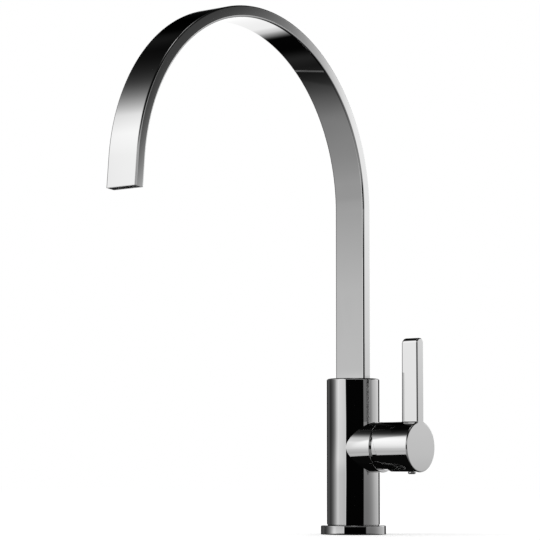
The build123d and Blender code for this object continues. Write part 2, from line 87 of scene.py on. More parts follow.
eye = Vector((sin(BEARING) * DISTANCE, -cos(BEARING) * DISTANCE, LENS_HEIGHT))
turned_to_tap = Matrix.Rotation(BEARING - YAW, 4, "Z")
tipped_up = Matrix.Rotation(pi / 2 + PITCH, 4, "X")
rolled = Matrix.Rotation(ROLL, 4, "Z")
camera = bpy.data.objects.new("camera", bpy.data.cameras.new("camera"))
camera.data.sensor_width = SENSOR_WIDTH
camera.data.lens = LENS
camera.data.clip_end = FARTHEST_SEEN
camera.matrix_world = Matrix.Translation(eye) @ turned_to_tap @ tipped_up @ rolled
bpy.context.scene.collection.objects.link(camera)
bpy.context.scene.camera = camera
bpy.context.scene.view_settings.view_transform = "Standard"
print("lens", LENS, "mm at", [round(v, 3) for v in eye])

# %% [markdown]
# ## The studio that the chrome mirrors
#
# Polished chrome has next to no colour of its own: what one sees is the room. So the
# studio matters more than the metal. Read off the picture, a large soft light stands to
# the left with its far edge dead ahead of the spout, a pale sweep closes the right and
# the back, and the ceiling is dark. Behind the camera stands a wide, low black screen.
# Lights could be built as glowing panels, but a sky is steadier: it is painted by
# compass bearing and height, so each edge can be put where its reflection shows.
# Bearings count in degrees from the spout's side (0) towards the lever's side (90).
#
# The sky and every material are node trees. Two helpers keep them short: one adds a node
# and fills its sockets with plain values or links, the other does a sum.

# %% Directions in the sky
def add(tree, kind, values=(), **settings):
    node = tree.nodes.new("ShaderNode" + kind)
    for name, value in settings.items():
        setattr(node, name, value)
    for socket, value in dict(values).items():
        if isinstance(value, bpy.types.NodeSocket):
            tree.links.new(value, node.inputs[socket])
        else:
            node.inputs[socket].default_value = value
    return node


def calc(tree, operation, *values):
    return add(tree, "Math", enumerate(values), operation=operation).outputs[0]


studio = bpy.data.worlds.new("studio")
studio.use_nodes = True
studio.cycles.sampling_method = "NONE"     # rays find the sky by themselves, each kind its own
sky = studio.node_tree
sky.nodes.clear()
bpy.context.scene.world = studio

direction = add(sky, "TexCoord").outputs["Generated"]
split = add(sky, "SeparateXYZ", {0: direction}).outputs
towards_spout = calc(sky, "MULTIPLY", split["Y"], -1.0)
bearing = calc(sky, "DEGREES", calc(sky, "ARCTAN2", split["X"], towards_spout))
compass = calc(sky, "FLOORED_MODULO", bearing, 360.0)
height = calc(sky, "DEGREES", calc(sky, "ARCSINE", split["Z"]))
off_horizon = calc(sky, "ABSOLUTE", height)
print("bearings run from -180 to 180, compass from 0 to 360, heights from -90 to 90")

# %% [markdown]
# ### The left light
#
# One side of the studio is a ramp by bearing times a ramp by height. A ramp's stops are
# pairs of place and level, and a level is written as it looks on screen, from 0 black to
# 1 white, because that is how one reads tones off a picture.
#
# The left light is the largest. Its far edge is the hard line down the front of the
# column. It falls off towards the back, and it is wider above and below the horizon, but
# its far edge stays upright.

# %% Left light
LEFT_LIGHT = (
    (-122, 0.03), (-112, 0.05), (-105, 0.3), (-95, 0.27), (-81, 0.21), (-72, 0.27),
    (-60, 0.4), (-54, 0.5), (-48, 0.62), (-42, 0.74), (-37, 0.83), (-31, 0.84),
    (-26, 0.79), (-16, 0.78), (0, 0.75), (1.9, 0.78), (2.7, 0.86), (3.5, 0.02))
LEFT_BY_HEIGHT = (
    (-90, 0.03), (-65, 0.28), (-56, 0.5), (-50, 0.62), (-40, 0.73), (-30, 0.8), (-22, 0.85),
    (-15, 0.91), (-8, 0.98), (-2, 1.0), (0, 1.01), (3, 1.06), (6, 1.08), (14, 1.13),
    (26, 1.18), (34, 1.12), (40, 0.8), (46, 0.45), (52, 0.27), (62, 0.12), (70, 0.2),
    (78, 0.6), (90, 0.7))
BRIGHTEST = 1.44        # a ramp holds levels up to 1, so levels by height are scaled by this
LEAN = 0.36             # degrees that the light widens for each degree off the horizon
LEAN_STOPS = 3.0        # no tone moves past this bearing, so the far edge stays upright


def ramp(tree, position, stops, low, high):
    """A ramp whose stops are (place, level), with places running from low to high."""
    along = calc(tree, "DIVIDE", calc(tree, "SUBTRACT", position, low), high - low)
    node = add(tree, "ValToRGB", {"Fac": along})
    elements = node.color_ramp.elements
    for element, place in zip(elements, (stops[0][0], stops[-1][0])):
        element.position = (place - low) / (high - low)
    for place, _ in stops[1:-1]:
        elements.new((place - low) / (high - low))
    for element, (_, level) in zip(elements, stops):
        element.color = (level, level, level, 1)
    return node.outputs["Color"]


def by_height(stops):
    scaled = [(place, level / BRIGHTEST) for place, level in stops]
    return calc(sky, "MULTIPLY", ramp(sky, height, scaled, -90, 90), BRIGHTEST)


def fading(tree, value, start, end, before=0.0, after=1.0):
    """A soft step from one level at the start to another at the end, in either direction."""
    sockets = {"Value": value, "From Min": start, "From Max": end, "To Min": before, "To Max": after}
    return add(tree, "MapRange", sockets, interpolation_type="SMOOTHSTEP").outputs["Result"]


leaning = calc(sky, "ADD", bearing, calc(sky, "MULTIPLY", off_horizon, LEAN))
leaning = calc(sky, "MINIMUM", leaning, calc(sky, "MAXIMUM", bearing, LEAN_STOPS))
left = calc(sky, "MULTIPLY", ramp(sky, leaning, LEFT_LIGHT, -180, 180), by_height(LEFT_BY_HEIGHT))
in_left = fading(sky, bearing, -122, -108)
print("left light:", len(LEFT_LIGHT), "stops by bearing,", len(LEFT_BY_HEIGHT), "by height")

# %% [markdown]
# ### The right sweep
#
# A sheet of grey paper, curved like a wave, closes the lever's side. It brightens slowly
# towards the back and is lightest a little above the horizon. Low down, a dark round
# opening shows through it. Its reflection is the shade on the spout's narrow side.

# %% Right sweep
RIGHT_SWEEP = (
    (80, 0.02), (82.5, 0.41), (96, 0.41), (105, 0.425), (117, 0.465), (129, 0.53),
    (141, 0.61), (153, 0.65), (170, 0.7), (190, 0.82), (205, 0.9))
RIGHT_BY_HEIGHT = (
    (-80, 0.1), (-44, 0.15), (-34, 0.5), (-29, 0.84), (-14, 0.88), (-1, 0.97), (0, 1.04),
    (0.8, 1.15), (2.3, 1.19), (3.2, 1.24), (7, 1.39), (12, 1.43), (17, 1.2), (24, 0.5),
    (34, 0.2), (60, 0.08), (70, 0.3), (78, 0.9), (90, 1.1))
OPENING_BEARING, OPENING_HEIGHT = radians(135.7), radians(15.5)
OPENING_EDGE, OPENING_LEVEL = (5.3, 10.7), 0.28

right = calc(sky, "MULTIPLY", ramp(sky, compass, RIGHT_SWEEP, 0, 360), by_height(RIGHT_BY_HEIGHT))
past_right = fading(sky, compass, 174, 184)

to_opening = Vector((sin(OPENING_BEARING), -cos(OPENING_BEARING), tan(OPENING_HEIGHT))).normalized()
likeness = add(sky, "VectorMath", {0: direction, 1: to_opening}, operation="DOT_PRODUCT").outputs["Value"]
off_opening = calc(sky, "DEGREES", calc(sky, "ARCCOSINE", likeness))
opening = fading(sky, off_opening, *OPENING_EDGE, before=OPENING_LEVEL)
print("right sweep with an opening", 2 * OPENING_EDGE[1], "degrees across")

# %% [markdown]
# ### The back sweep
#
# Behind the tap the paper is bright in the middle, with a dark strip on each side. A
# round column squeezes what lies behind it into its outlines, so these strips are what
# draws the two thin dark lines just inside its edges. They are low, and above and below
# them the paper goes on, so that other views see it whole.

# %% Back sweep
BACK_SWEEP = ((183, 0.05), (201, 0.05), (206, 1.0), (228, 1.0), (233, 0.05), (256, 0.05))
BACK_BY_HEIGHT = (
    (-54, 0.05), (-38, 0.06), (-35, 0.4), (-31, 0.75), (-26, 0.9), (-6, 0.9), (9, 0.9),
    (14, 0.6), (21, 0.08), (36, 0.02), (50, 0.08), (68, 0.15), (78, 0.5), (90, 0.6))
STRIP_HEIGHT, STRIP_END, BESIDE_STRIPS = 6, 9, 0.75

beyond_strips = fading(sky, off_horizon, STRIP_HEIGHT, STRIP_END, after=BESIDE_STRIPS)
back_sweep = calc(sky, "MAXIMUM", ramp(sky, compass, BACK_SWEEP, 0, 360), beyond_strips)
back = calc(sky, "MULTIPLY", back_sweep, by_height(BACK_BY_HEIGHT))
in_back = calc(sky, "MULTIPLY", past_right, calc(sky, "SUBTRACT", 1.0, in_left))
print("dark strips reach", STRIP_HEIGHT, "degrees up and down")

# %% [markdown]
# ### The front, with its black screen
#
# Between the left light and the right sweep lies the quarter that the camera stands in.
# Its screen is black for a few degrees about the horizon: this is the broad black band
# down the column and along the barrel. Above and below it the front is grey, or the tap
# would look half black from every other height.

# %% Front
FRONT_BY_HEIGHT = (
    (-80, 0.1), (-50, 0.25), (-30, 0.42), (-10, 0.5), (-7.5, 0.44), (-6, 0.0), (6, 0.0),
    (7.5, 0.45), (19, 0.6), (25, 0.3), (31, 0.15), (36, 0.07), (60, 0.06), (70, 0.25),
    (78, 0.7), (90, 0.9))


def between(tree, value, rise, fall):
    """1 between a rise and a fall, each written as (where it is 0, where it is 1)."""
    return calc(tree, "MULTIPLY", fading(tree, value, *rise), fading(tree, value, *fall))


in_front = between(sky, compass, (3.5, 9), (84, 79))
level = calc(sky, "MULTIPLY", left, in_left)
level = calc(sky, "MULTIPLY_ADD", right, calc(sky, "SUBTRACT", 1.0, past_right), level)
level = calc(sky, "MULTIPLY_ADD", back, in_back, level)
level = calc(sky, "MULTIPLY_ADD", in_front, by_height(FRONT_BY_HEIGHT), level)
level = calc(sky, "MULTIPLY", level, opening)
print("four sides joined with", len(sky.nodes), "nodes")

# %% [markdown]
# ### What each kind of ray sees
#
# Only mirrored rays see this sky. The camera sees plain white, and matt parts are lit by
# an even white, so that their colours come out as written. Light Path tells the rays
# apart. Chrome swallows a third of the light, so the sky is made brighter by as much,
# and the levels above come out on the metal as they are written.

# %% Rays
SCREEN_GAMMA = 2.2
CHROME_RETURNS = 0.66   # the share of light that chrome plate sends back
EVEN_LIGHT = 0.8
WHITE = (1, 1, 1, 1)


def toned(tree, level):
    """Turns a level as seen on screen into light."""
    return calc(tree, "POWER", level, SCREEN_GAMMA)


mirrored = add(sky, "Background", {"Color": toned(sky, level), "Strength": 1 / CHROME_RETURNS})
plain = add(sky, "Background", {"Color": WHITE, "Strength": EVEN_LIGHT})
white = add(sky, "Background", {"Color": WHITE, "Strength": 1.0})
ray = add(sky, "LightPath").outputs
lit = add(sky, "MixShader", {"Fac": ray["Is Glossy Ray"], 1: plain.outputs[0], 2: mirrored.outputs[0]})
seen = calc(sky, "MAXIMUM", ray["Is Camera Ray"], ray["Is Transmission Ray"])
shown = add(sky, "MixShader", {"Fac": seen, 1: lit.outputs[0], 2: white.outputs[0]})
add(sky, "OutputWorld", {"Surface": shown.outputs[0]})
print("camera sees white, matt parts an even light, mirrors the studio")

# %% [markdown]
# ## Floor
#
# The tap stands on a white worktop that runs back into the white behind it. The floor
# takes the tap's soft shadow. Seen from underneath it is clear, so that the shank and
# its clamp, which hang below a real worktop, can be looked at as well. Mirrored rays
# pass through it too, down to the lower half of the painted studio.

# %% White worktop
FLOOR_SIZE, FLOOR_PAINT, FLOOR_LIFT = 12, (0.88, 0.88, 0.88, 1), 0.3


def as_object(name, bm):
    mesh = bpy.data.meshes.new(name)
    bm.to_mesh(mesh)
    bm.free()
    made = bpy.data.objects.new(name, mesh)
    bpy.context.scene.collection.objects.link(made)
    return made


def flat_sheet(name, width, depth, place):
    bm = bmesh.new()
    bmesh.ops.create_grid(bm, x_segments=1, y_segments=1, size=0.5,
                          matrix=place @ Matrix.Diagonal((width, depth, 1, 1)))
    sheet = as_object(name, bm)
    return sheet


def material(name):
    made = bpy.data.materials.new(name)
    made.use_nodes = True
    made.node_tree.nodes.clear()
    return made


white_floor = material("white_worktop")
tree = white_floor.node_tree
paint = add(tree, "BsdfDiffuse", {"Color": FLOOR_PAINT}).outputs[0]
lift = add(tree, "Emission", {"Strength": FLOOR_LIFT}).outputs[0]
lifted = add(tree, "AddShader", {0: paint, 1: lift}).outputs[0]
clear = add(tree, "BsdfTransparent").outputs[0]
ray = add(tree, "LightPath").outputs
from_below = add(tree, "NewGeometry").outputs["Backfacing"]
looks_through = calc(tree, "MAXIMUM", ray["Is Glossy Ray"], from_below)
upper_side = add(tree, "MixShader", {"Fac": ray["Is Camera Ray"], 1: paint, 2: lifted}).outputs[0]
both_sides = add(tree, "MixShader", {"Fac": looks_through, 1: upper_side, 2: clear}).outputs[0]
add(tree, "OutputMaterial", {"Surface": both_sides})
floor = flat_sheet("worktop_floor", FLOOR_SIZE, FLOOR_SIZE, Matrix())
floor.data.materials.append(white_floor)
print("floor", FLOOR_SIZE, "m across")

# %% [markdown]
# ## Lamp
#
# The even light casts no shadow with a direction. One large round lamp, high on the left
# and in front, adds it. It is hidden from mirrored rays: the studio already holds the
# soft light that the chrome shows there.

# %% Soft lamp
LAMP_PLACE, LAMP_AIM = Vector((-0.9, -1.2, 2.2)), Vector((0, 0, 0.1))
LAMP_WIDTH, LAMP_WATTS = 1.6, 9

lamp = bpy.data.objects.new("soft_lamp", bpy.data.lights.new("soft_lamp", "AREA"))
lamp.data.shape = "DISK"
lamp.data.size = LAMP_WIDTH
lamp.data.energy = LAMP_WATTS
lamp.location = LAMP_PLACE
lamp.rotation_euler = (LAMP_AIM - LAMP_PLACE).to_track_quat("-Z", "Y").to_euler()
lamp.visible_glossy = False
bpy.context.scene.collection.objects.link(lamp)
print("one soft lamp", LAMP_WIDTH, "m wide")

# %% [markdown]
# ## Cards close to the tap
#
# A painted sky looks the same from every point of the tap. What stands close by doesn't:
# it shows low on the column and not high, or in one stretch of the arch. A product
# photographer puts such cards round a shiny object, and here too only mirrors see them.
# A black sheet lies round the foot and makes the column end in black. It may lie just
# below the floor's surface, as mirrored rays pass the floor. On the left lies a strip that
# glows faintly and that only mirrors see: it paints the thin highlight line inside the arch.

# %% Black sheet and glowing highlight strip
SHEET_RADIUS, SHEET_MIDDLE, SHEET_GLOW = 0.1, (0.008, -0.012, -0.0025), 0.004
HIGHLIGHT_STRIP_LENGTH, HIGHLIGHT_STRIP_WIDTH, HIGHLIGHT_STRIP_MIDDLE, HIGHLIGHT_STRIP_GLOW = 0.07, 0.006, (-0.257, -0.036, 0.0), 0.17
HIGHLIGHT_STRIP_TURN = radians(-30)


def mirrors_only(card, cloth):
    card.data.materials.append(cloth)
    card.visible_camera = card.visible_diffuse = False
    card.visible_shadow = card.visible_transmission = False


def glowing(name, strength):
    made = material(name)
    glow = add(made.node_tree, "Emission", {"Strength": strength}).outputs[0]
    add(made.node_tree, "OutputMaterial", {"Surface": glow})
    return made


bm = bmesh.new()
bmesh.ops.create_circle(bm, cap_ends=True, segments=96, radius=SHEET_RADIUS,
                        matrix=Matrix.Translation(SHEET_MIDDLE))
black_sheet = as_object("black_sheet", bm)
mirrors_only(black_sheet, glowing("black_card", SHEET_GLOW))

# The strip glows as a faint light that only mirrors see, to paint the thin highlight line inside the arch.
highlight_strip_place = Matrix.Translation(HIGHLIGHT_STRIP_MIDDLE) @ Matrix.Rotation(HIGHLIGHT_STRIP_TURN, 4, "Z")
highlight_strip = flat_sheet("glowing_highlight_strip", HIGHLIGHT_STRIP_LENGTH, HIGHLIGHT_STRIP_WIDTH, highlight_strip_place)
mirrors_only(highlight_strip, glowing("glowing_highlight_strip", HIGHLIGHT_STRIP_GLOW))
print("black sheet", 2 * SHEET_RADIUS, "m across, tape", HIGHLIGHT_STRIP_LENGTH, "m long")

# %% [markdown]
# ### Nets
#
# A net is a see-through grey cloth. It takes a share of the light, its shade, and lets
# the rest through, so it softens a reflection without hiding it. The large net stands
# beside the riser and takes the glare off the flat inside of the spout. It is shaded in
# three parts, one above the other: beside the foot, beside the column, and beside the
# riser, where it is darkest. Places on a net are in metres, up and along it.

# %% Net beside the riser
RISER_NET_START, ALONG_RISER_NET = Vector((-0.088, -0.125, 0)), Vector((-0.809, 0.588, 0))
RISER_NET_SIZE, RISER_NET_MIDDLE, RISER_NET_TURN = (0.27, 0.53), (-0.100135, -0.11618, 0.235), radians(144)
FOOT_SHADE, COLUMN_SHADE = 0.09, (0.09, 0.2)
RISER_SHADE = ((0.12, 0.17), (0.2, 0.22), (0.265, 0.32), (0.4, 0.3))


def hang_net(name, size, middle, turn, shade):
    """Hangs an upright net. The shade is a formula of a node tree and a place."""
    cloth = material(name)
    tree = cloth.node_tree
    taken = shade(tree, add(tree, "TexCoord").outputs["Object"])
    passed = toned(tree, calc(tree, "SUBTRACT", 1.0, taken))
    through = add(tree, "BsdfTransparent", {"Color": passed}).outputs[0]
    add(tree, "OutputMaterial", {"Surface": through})
    upright = Matrix.Rotation(turn, 4, "Z") @ Matrix.Rotation(pi / 2, 4, "X")
    mirrors_only(flat_sheet(name + "_card", *size, Matrix.Translation(middle) @ upright), cloth)
    print(name, "is wide and high, in metres:", *size)


def distance_along(tree, place, start, course):
    """How far a place lies from the start, measured along a level course."""
    run = add(tree, "VectorMath", {0: place, 1: course}, operation="DOT_PRODUCT").outputs["Value"]
    return calc(tree, "SUBTRACT", run, start.dot(course))


def riser_net_shade(tree, place):
    up = add(tree, "SeparateXYZ", {0: place}).outputs["Z"]
    along = distance_along(tree, place, RISER_NET_START, ALONG_RISER_NET)
    past_edge = fading(tree, along, -0.024, -0.014)

    foot = between(tree, up, (-0.004, 0.006), (0.06, 0.045))
    foot = calc(tree, "MULTIPLY", foot, fading(tree, along, 0.045, 0.01))
    column = calc(tree, "MULTIPLY", between(tree, up, (0.045, 0.085), (0.135, 0.12)), past_edge)
    riser = calc(tree, "MULTIPLY", past_edge, fading(tree, up, 0.12, 0.135))
    riser = calc(tree, "MULTIPLY", riser, fading(tree, along, 0.1, 0.03))

    near_level, far_level = COLUMN_SHADE
    column_shade = fading(tree, along, -0.01, 0.035, before=near_level, after=far_level)
    shade = calc(tree, "MULTIPLY", riser, ramp(tree, up, RISER_SHADE, 0.1, 0.5))
    shade = calc(tree, "MULTIPLY_ADD", foot, FOOT_SHADE, shade)
    return calc(tree, "MULTIPLY_ADD", column, column_shade, shade)


hang_net("net", RISER_NET_SIZE, RISER_NET_MIDDLE, RISER_NET_TURN, riser_net_shade)

# %% [markdown]
# Two more nets are smaller. The side net stands behind the handle and dims the right
# side of the column above it. The small net stands close to the column, between it and
# the bar. Its folds give that part of the column a few faint upright stripes.

# %% Side net and small net
SIDE_NET_START, ALONG_SIDE_NET = Vector((0.0575, 0.0706, 0)), Vector((0.883, -0.469, 0))
SIDE_NET_SIZE, SIDE_NET_MIDDLE, SIDE_NET_TURN = (0.11, 0.075), (0.044255, 0.077635, 0.0875), radians(-28)
SIDE_NET_DARKEST = 0.07
FOLDS = ((-0.02, 0.2), (-0.009, 0.2), (-0.005, 0.22), (-0.001, 0.08), (0.001, 0.04),
         (0.004, 0.15), (0.008, 0.12), (0.012, 0.05), (0.017, 0.0))
SMALL_NET_SIZE, SMALL_NET_MIDDLE = (0.04, 0.037), (0.04, 0, 0.1045)


def side_net_shade(tree, place):
    up = add(tree, "SeparateXYZ", {0: place}).outputs["Z"]
    along = distance_along(tree, place, SIDE_NET_START, ALONG_SIDE_NET)
    near = fading(tree, along, 0.04, 0.01, after=SIDE_NET_DARKEST)
    return calc(tree, "MULTIPLY", near, fading(tree, up, 0.05, 0.09))


def small_net_shade(tree, place):
    across = add(tree, "SeparateXYZ", {0: place}).outputs["Y"]
    return ramp(tree, across, FOLDS, -SMALL_NET_SIZE[0] / 2, SMALL_NET_SIZE[0] / 2)


hang_net("side_net", SIDE_NET_SIZE, SIDE_NET_MIDDLE, SIDE_NET_TURN, side_net_shade)
hang_net("small_net", SMALL_NET_SIZE, SMALL_NET_MIDDLE, pi / 2, small_net_shade)

# %% [markdown]
# ## Surface effects that many finishes share
#
# Three small node groups hold what cloths, machines and moulds leave on a surface. Each
# is built once, with named inputs and outputs, and placed in a finish with that finish's
# own values. It gives values only, so every finish decides what they change.
#
# Wipe marks are long faint streaks from a cloth, and they come in patches. A noise that
# is stretched upright makes the streaks, and a coarse one masks them. The height is the
# slow ripple that the polishing wheel leaves under any plating.

# %% Wipe marks
def effect(name, inputs, outputs):
    """An empty group with its sockets. An input without a value is a place."""
    group = bpy.data.node_groups.new(name, "ShaderNodeTree")
    for label, value in inputs:
        kind = "NodeSocketVector" if value is None else "NodeSocketFloat"
        socket = group.interface.new_socket(name=label, in_out="INPUT", socket_type=kind)
        if value is not None:
            socket.default_value = value
    for label in outputs:
        group.interface.new_socket(name=label, in_out="OUTPUT", socket_type="NodeSocketFloat")
    return group, group.nodes.new("NodeGroupInput").outputs, group.nodes.new("NodeGroupOutput").inputs


def noise(tree, place, scale, detail=2.0, roughness=0.5):
    sockets = {"Vector": place, "Scale": scale, "Detail": detail, "Roughness": roughness}
    return add(tree, "TexNoise", sockets).outputs["Fac"]


def stretched(tree, place, amount):
    return add(tree, "Mapping", {"Vector": place, "Scale": amount}).outputs["Vector"]


UPRIGHT, PATCHES, RIPPLES = (1.0, 1.0, 0.22), 22.0, 38.0

wipe_marks, given, gives = effect(
    "wipe_marks", (("Place", None), ("Streaks", 90.0), ("Wetness", 0.5)), ("Smear", "Height"))
upright = stretched(wipe_marks, given["Place"], UPRIGHT)
streaks = noise(wipe_marks, upright, given["Streaks"], detail=5.0, roughness=0.6)
patches = noise(wipe_marks, given["Place"], PATCHES)
smear = calc(wipe_marks, "MULTIPLY", fading(wipe_marks, streaks, 0.45, 0.75),
             fading(wipe_marks, patches, 0.4, 0.65))
wipe_marks.links.new(calc(wipe_marks, "MULTIPLY", smear, given["Wetness"]), gives["Smear"])
wipe_marks.links.new(noise(wipe_marks, given["Place"], RIPPLES, detail=1.0), gives["Height"])
print(wipe_marks.name, "gives Smear and Height")

# %% [markdown]
# Turning rings are the fine grooves of a lathe tool. On a round wall they follow the
# height and on an end face the distance from the axis, so the two are simply added. A
# noise along that path shakes the tool, or the rings would look like a printed pattern.

# %% Turning rings
TOOL_SHAKE, SHAKE_LENGTH, TARNISH = 5.0, 0.6, 55.0

turning_rings, given, gives = effect(
    "turning_rings", (("Place", None), ("Rings per metre", 2600.0)), ("Groove", "Tone"))
upwards = add(turning_rings, "SeparateXYZ", {0: given["Place"]}).outputs["Z"]
flattened = stretched(turning_rings, given["Place"], (1.0, 1.0, 0.0))
outwards = add(turning_rings, "VectorMath", {0: flattened}, operation="LENGTH").outputs["Value"]
tool = calc(turning_rings, "ADD", outwards, upwards)
tool = calc(turning_rings, "MULTIPLY", tool, given["Rings per metre"])
tool_line = add(turning_rings, "CombineXYZ", {0: tool}).outputs[0]
shake = noise(turning_rings, tool_line, SHAKE_LENGTH, detail=3.0)
groove = calc(turning_rings, "SINE", calc(turning_rings, "MULTIPLY_ADD", shake, TOOL_SHAKE, tool))
turning_rings.links.new(groove, gives["Groove"])
turning_rings.links.new(noise(turning_rings, given["Place"], TARNISH, detail=4.0), gives["Tone"])
print(turning_rings.name, "gives Groove and Tone")

# %% [markdown]
# Moulded skin is the shallow orange peel that plastic and rubber take from their mould,
# with scuffs where they were handled. A Voronoi texture makes the pores.

# %% Moulded skin
SWELLS, SCUFFS = 300.0, 70.0

moulded_skin, given, gives = effect(
    "moulded_skin", (("Place", None), ("Grain", 2400.0)), ("Height", "Scuffs"))
pores = add(moulded_skin, "TexVoronoi", {"Vector": given["Place"], "Scale": given["Grain"]})
swells = noise(moulded_skin, given["Place"], SWELLS, detail=3.0)
scuffs = noise(moulded_skin, given["Place"], SCUFFS, detail=6.0, roughness=0.7)
moulded_skin.links.new(calc(moulded_skin, "ADD", pores.outputs["Distance"], swells), gives["Height"])
moulded_skin.links.new(fading(moulded_skin, scuffs, 0.5, 0.72), gives["Scuffs"])
print(moulded_skin.name, "gives Height and Scuffs")

# %% [markdown]
# ## Polished chrome
#
# Chrome plate has no grain. What tells a real tap from a perfect mirror are faint wipe
# marks, a little rougher and duller than the rest, and a ripple of a few hundredths of a
# degree. More than that and the long straight reflections would start to wobble.

# %% Chrome
SMEARED, CHROME_RIPPLE = 0.97, 0.00001


def mixed(tree, amount, first, second):
    node = add(tree, "Mix", {"Factor": amount}, data_type="RGBA")
    node.inputs[6].default_value, node.inputs[7].default_value = first, second
    return node.outputs[2]


def finish(name, effect_group, settings, **constants):
    """A material with one surface effect fed by the piece's own place."""
    made = material(name)
    tree = made.node_tree
    group = tree.nodes.new("ShaderNodeGroup")
    group.node_tree = effect_group
    tree.links.new(add(tree, "TexCoord").outputs["Object"], group.inputs["Place"])
    for label, value in settings.items():
        group.inputs[label].default_value = value
    constants = {label.replace("_", " "): value for label, value in constants.items()}
    skin = add(tree, "BsdfPrincipled", constants)
    add(tree, "OutputMaterial", {"Surface": skin.outputs[0]})
    return made, tree, group.outputs, skin


def relief(tree, skin, height, depth):
    bump = add(tree, "Bump", {"Height": height, "Distance": depth, "Strength": 1.0})
    tree.links.new(bump.outputs["Normal"], skin.inputs["Normal"])


def varied(tree, skin, socket, amount, low, high):
    node = add(tree, "MapRange", {"Value": amount, "To Min": low, "To Max": high})
    tree.links.new(node.outputs["Result"], skin.inputs[socket])


chrome, tree, marks, skin = finish(
    "polished_chrome", wipe_marks, {"Streaks": 90.0, "Wetness": 0.8}, Metallic=1.0)
clean = (CHROME_RETURNS,) * 3 + (1,)
wiped = (CHROME_RETURNS * SMEARED,) * 3 + (1,)
tree.links.new(mixed(tree, marks["Smear"], clean, wiped), skin.inputs["Base Color"])
varied(tree, skin, "Roughness", marks["Smear"], 0.02, 0.07)
relief(tree, skin, marks["Height"], CHROME_RIPPLE)
print(chrome.name, "returns", CHROME_RETURNS, "of the light")

# %% [markdown]
# ## Turned brass and steel
#
# Shank, nut and inner fittings are brass, and small hard parts such as the washer, the
# stem and the screws are steel. Neither is polished, as nobody sees them in use: they
# keep the rings of the lathe, and a slight unevenness of tone. Colours are given as
# screen levels, with a tint for each of red, green and blue.

# %% Brass and steel
GROOVE_DEPTH = 0.00002


def colour(level, red=1.0, green=1.0, blue=1.0):
    """An even colour from a level as seen on screen."""
    return tuple(min(1.0, (level * tint) ** SCREEN_GAMMA) for tint in (red, green, blue)) + (1.0,)


def turned(name, rings, first, second, smoothest, roughest):
    made, tree, marks, skin = finish(name, turning_rings, {"Rings per metre": rings}, Metallic=1.0)
    tree.links.new(mixed(tree, marks["Tone"], first, second), skin.inputs["Base Color"])
    varied(tree, skin, "Roughness", marks["Groove"], smoothest, roughest)
    relief(tree, skin, marks["Groove"], GROOVE_DEPTH)
    return made


brass = turned("turned_brass", 2600.0, colour(0.92, 1.0, 0.86, 0.6), colour(0.8, 1.0, 0.84, 0.56), 0.24, 0.34)
steel = turned("turned_steel", 3400.0, colour(0.84), colour(0.74, 0.99, 1.0, 1.01), 0.22, 0.36)
print("off the lathe:", brass.name, steel.name)

# %% [markdown]
# ## Rubber, plastics and ceramic
#
# Seals are dull black rubber. The cartridge is off-white plastic and its discs are
# lapped ceramic, smooth enough to seal by themselves. The inner filter tube is milky
# plastic, so a little light wanders about in it. The outlet is a soft black that hardly
# shines: its mouth reads as a dark hole.

# %% Rubber, plastics and ceramic
def moulded(name, grain, first, second, smoothest, roughest, depth, **constants):
    made, tree, marks, skin = finish(name, moulded_skin, {"Grain": grain}, **constants)
    tree.links.new(mixed(tree, marks["Scuffs"], first, second), skin.inputs["Base Color"])
    varied(tree, skin, "Roughness", marks["Scuffs"], smoothest, roughest)
    relief(tree, skin, marks["Height"], depth)
    return made


rubber = moulded("seal_rubber", 3200.0, colour(0.13), colour(0.22), 0.62, 0.82, 0.00006)
cream_plastic = moulded("cartridge_plastic", 2400.0, colour(0.88, 1, 0.99, 0.94), colour(0.8, 1, 0.98, 0.92),
                        0.38, 0.55, 0.00003)
ceramic = moulded("lapped_ceramic", 5200.0, colour(0.95, 1, 1, 0.98), colour(0.9, 1, 0.99, 0.96),
                  0.1, 0.22, 0.000004)
milky_tube = moulded("filter_tube", 1500.0, colour(0.9, 0.98, 0.99, 1), colour(0.84, 0.97, 0.98, 1),
                     0.25, 0.4, 0.00001, Subsurface_Weight=0.25, Subsurface_Scale=0.002)
black_plastic = moulded("black_plastic", 2600.0, colour(0.03), colour(0.08), 0.4, 0.6, 0.00004,
                        Specular_IOR_Level=0.15)
print("moulded:", rubber.name, cream_plastic.name, ceramic.name, milky_tube.name, black_plastic.name)

# %% [markdown]
# ## Finish the measured solids
#
# Each measured solid says by the name of its material slot what it is made of. Solids
# whose shape is right keep it, and only take the finish that belongs to their slot.

# %% Finish by slot
BY_SLOT = {"chrome": chrome, "brass": brass, "stainless": steel, "seal_rubber": rubber, "ceramic": ceramic,
           "cartridge_plastic": cream_plastic, "filter_hose": milky_tube, "dark_plastic": black_plastic}
for node in frame["nodes"].values():
    for place in node.material_slots:
        place.material = BY_SLOT[place.material.name.split(".")[0]]
print("finishes:", ", ".join(BY_SLOT))

# %% [markdown]
# ## The spout
#
# The spout is a flat rectangular tube, drawn through a die and then bent over a round
# former, so its section stays the same from the column to the outlet. A curve with a
# bevel would do, but its section twists and its end can't be hollow. So it is made as in
# the workshop: the outline of a rectangle with softly rounded corners is drawn straight
# up, spun round the bend's centre, drawn on along its last direction, and given a wall.
#
# Shapes are drawn in millimetres. Their outer sizes are read from the solid that the new
# piece stands for, so that it fits where the solid did.

# %% Spout, drawn and bent
VERT, EDGE, FACE = bmesh.types.BMVert, bmesh.types.BMEdge, bmesh.types.BMFace


def frame_box(node):
    """The lowest and highest corner of a measured solid, in millimetres."""
    return [[round(value / MM, 3) for value in corner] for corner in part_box(node)]


def faces_outwards(bm):
    bmesh.ops.recalc_face_normals(bm, faces=bm.faces)


def only(kind, geometry):
    return [part for part in geometry if isinstance(part, kind)]


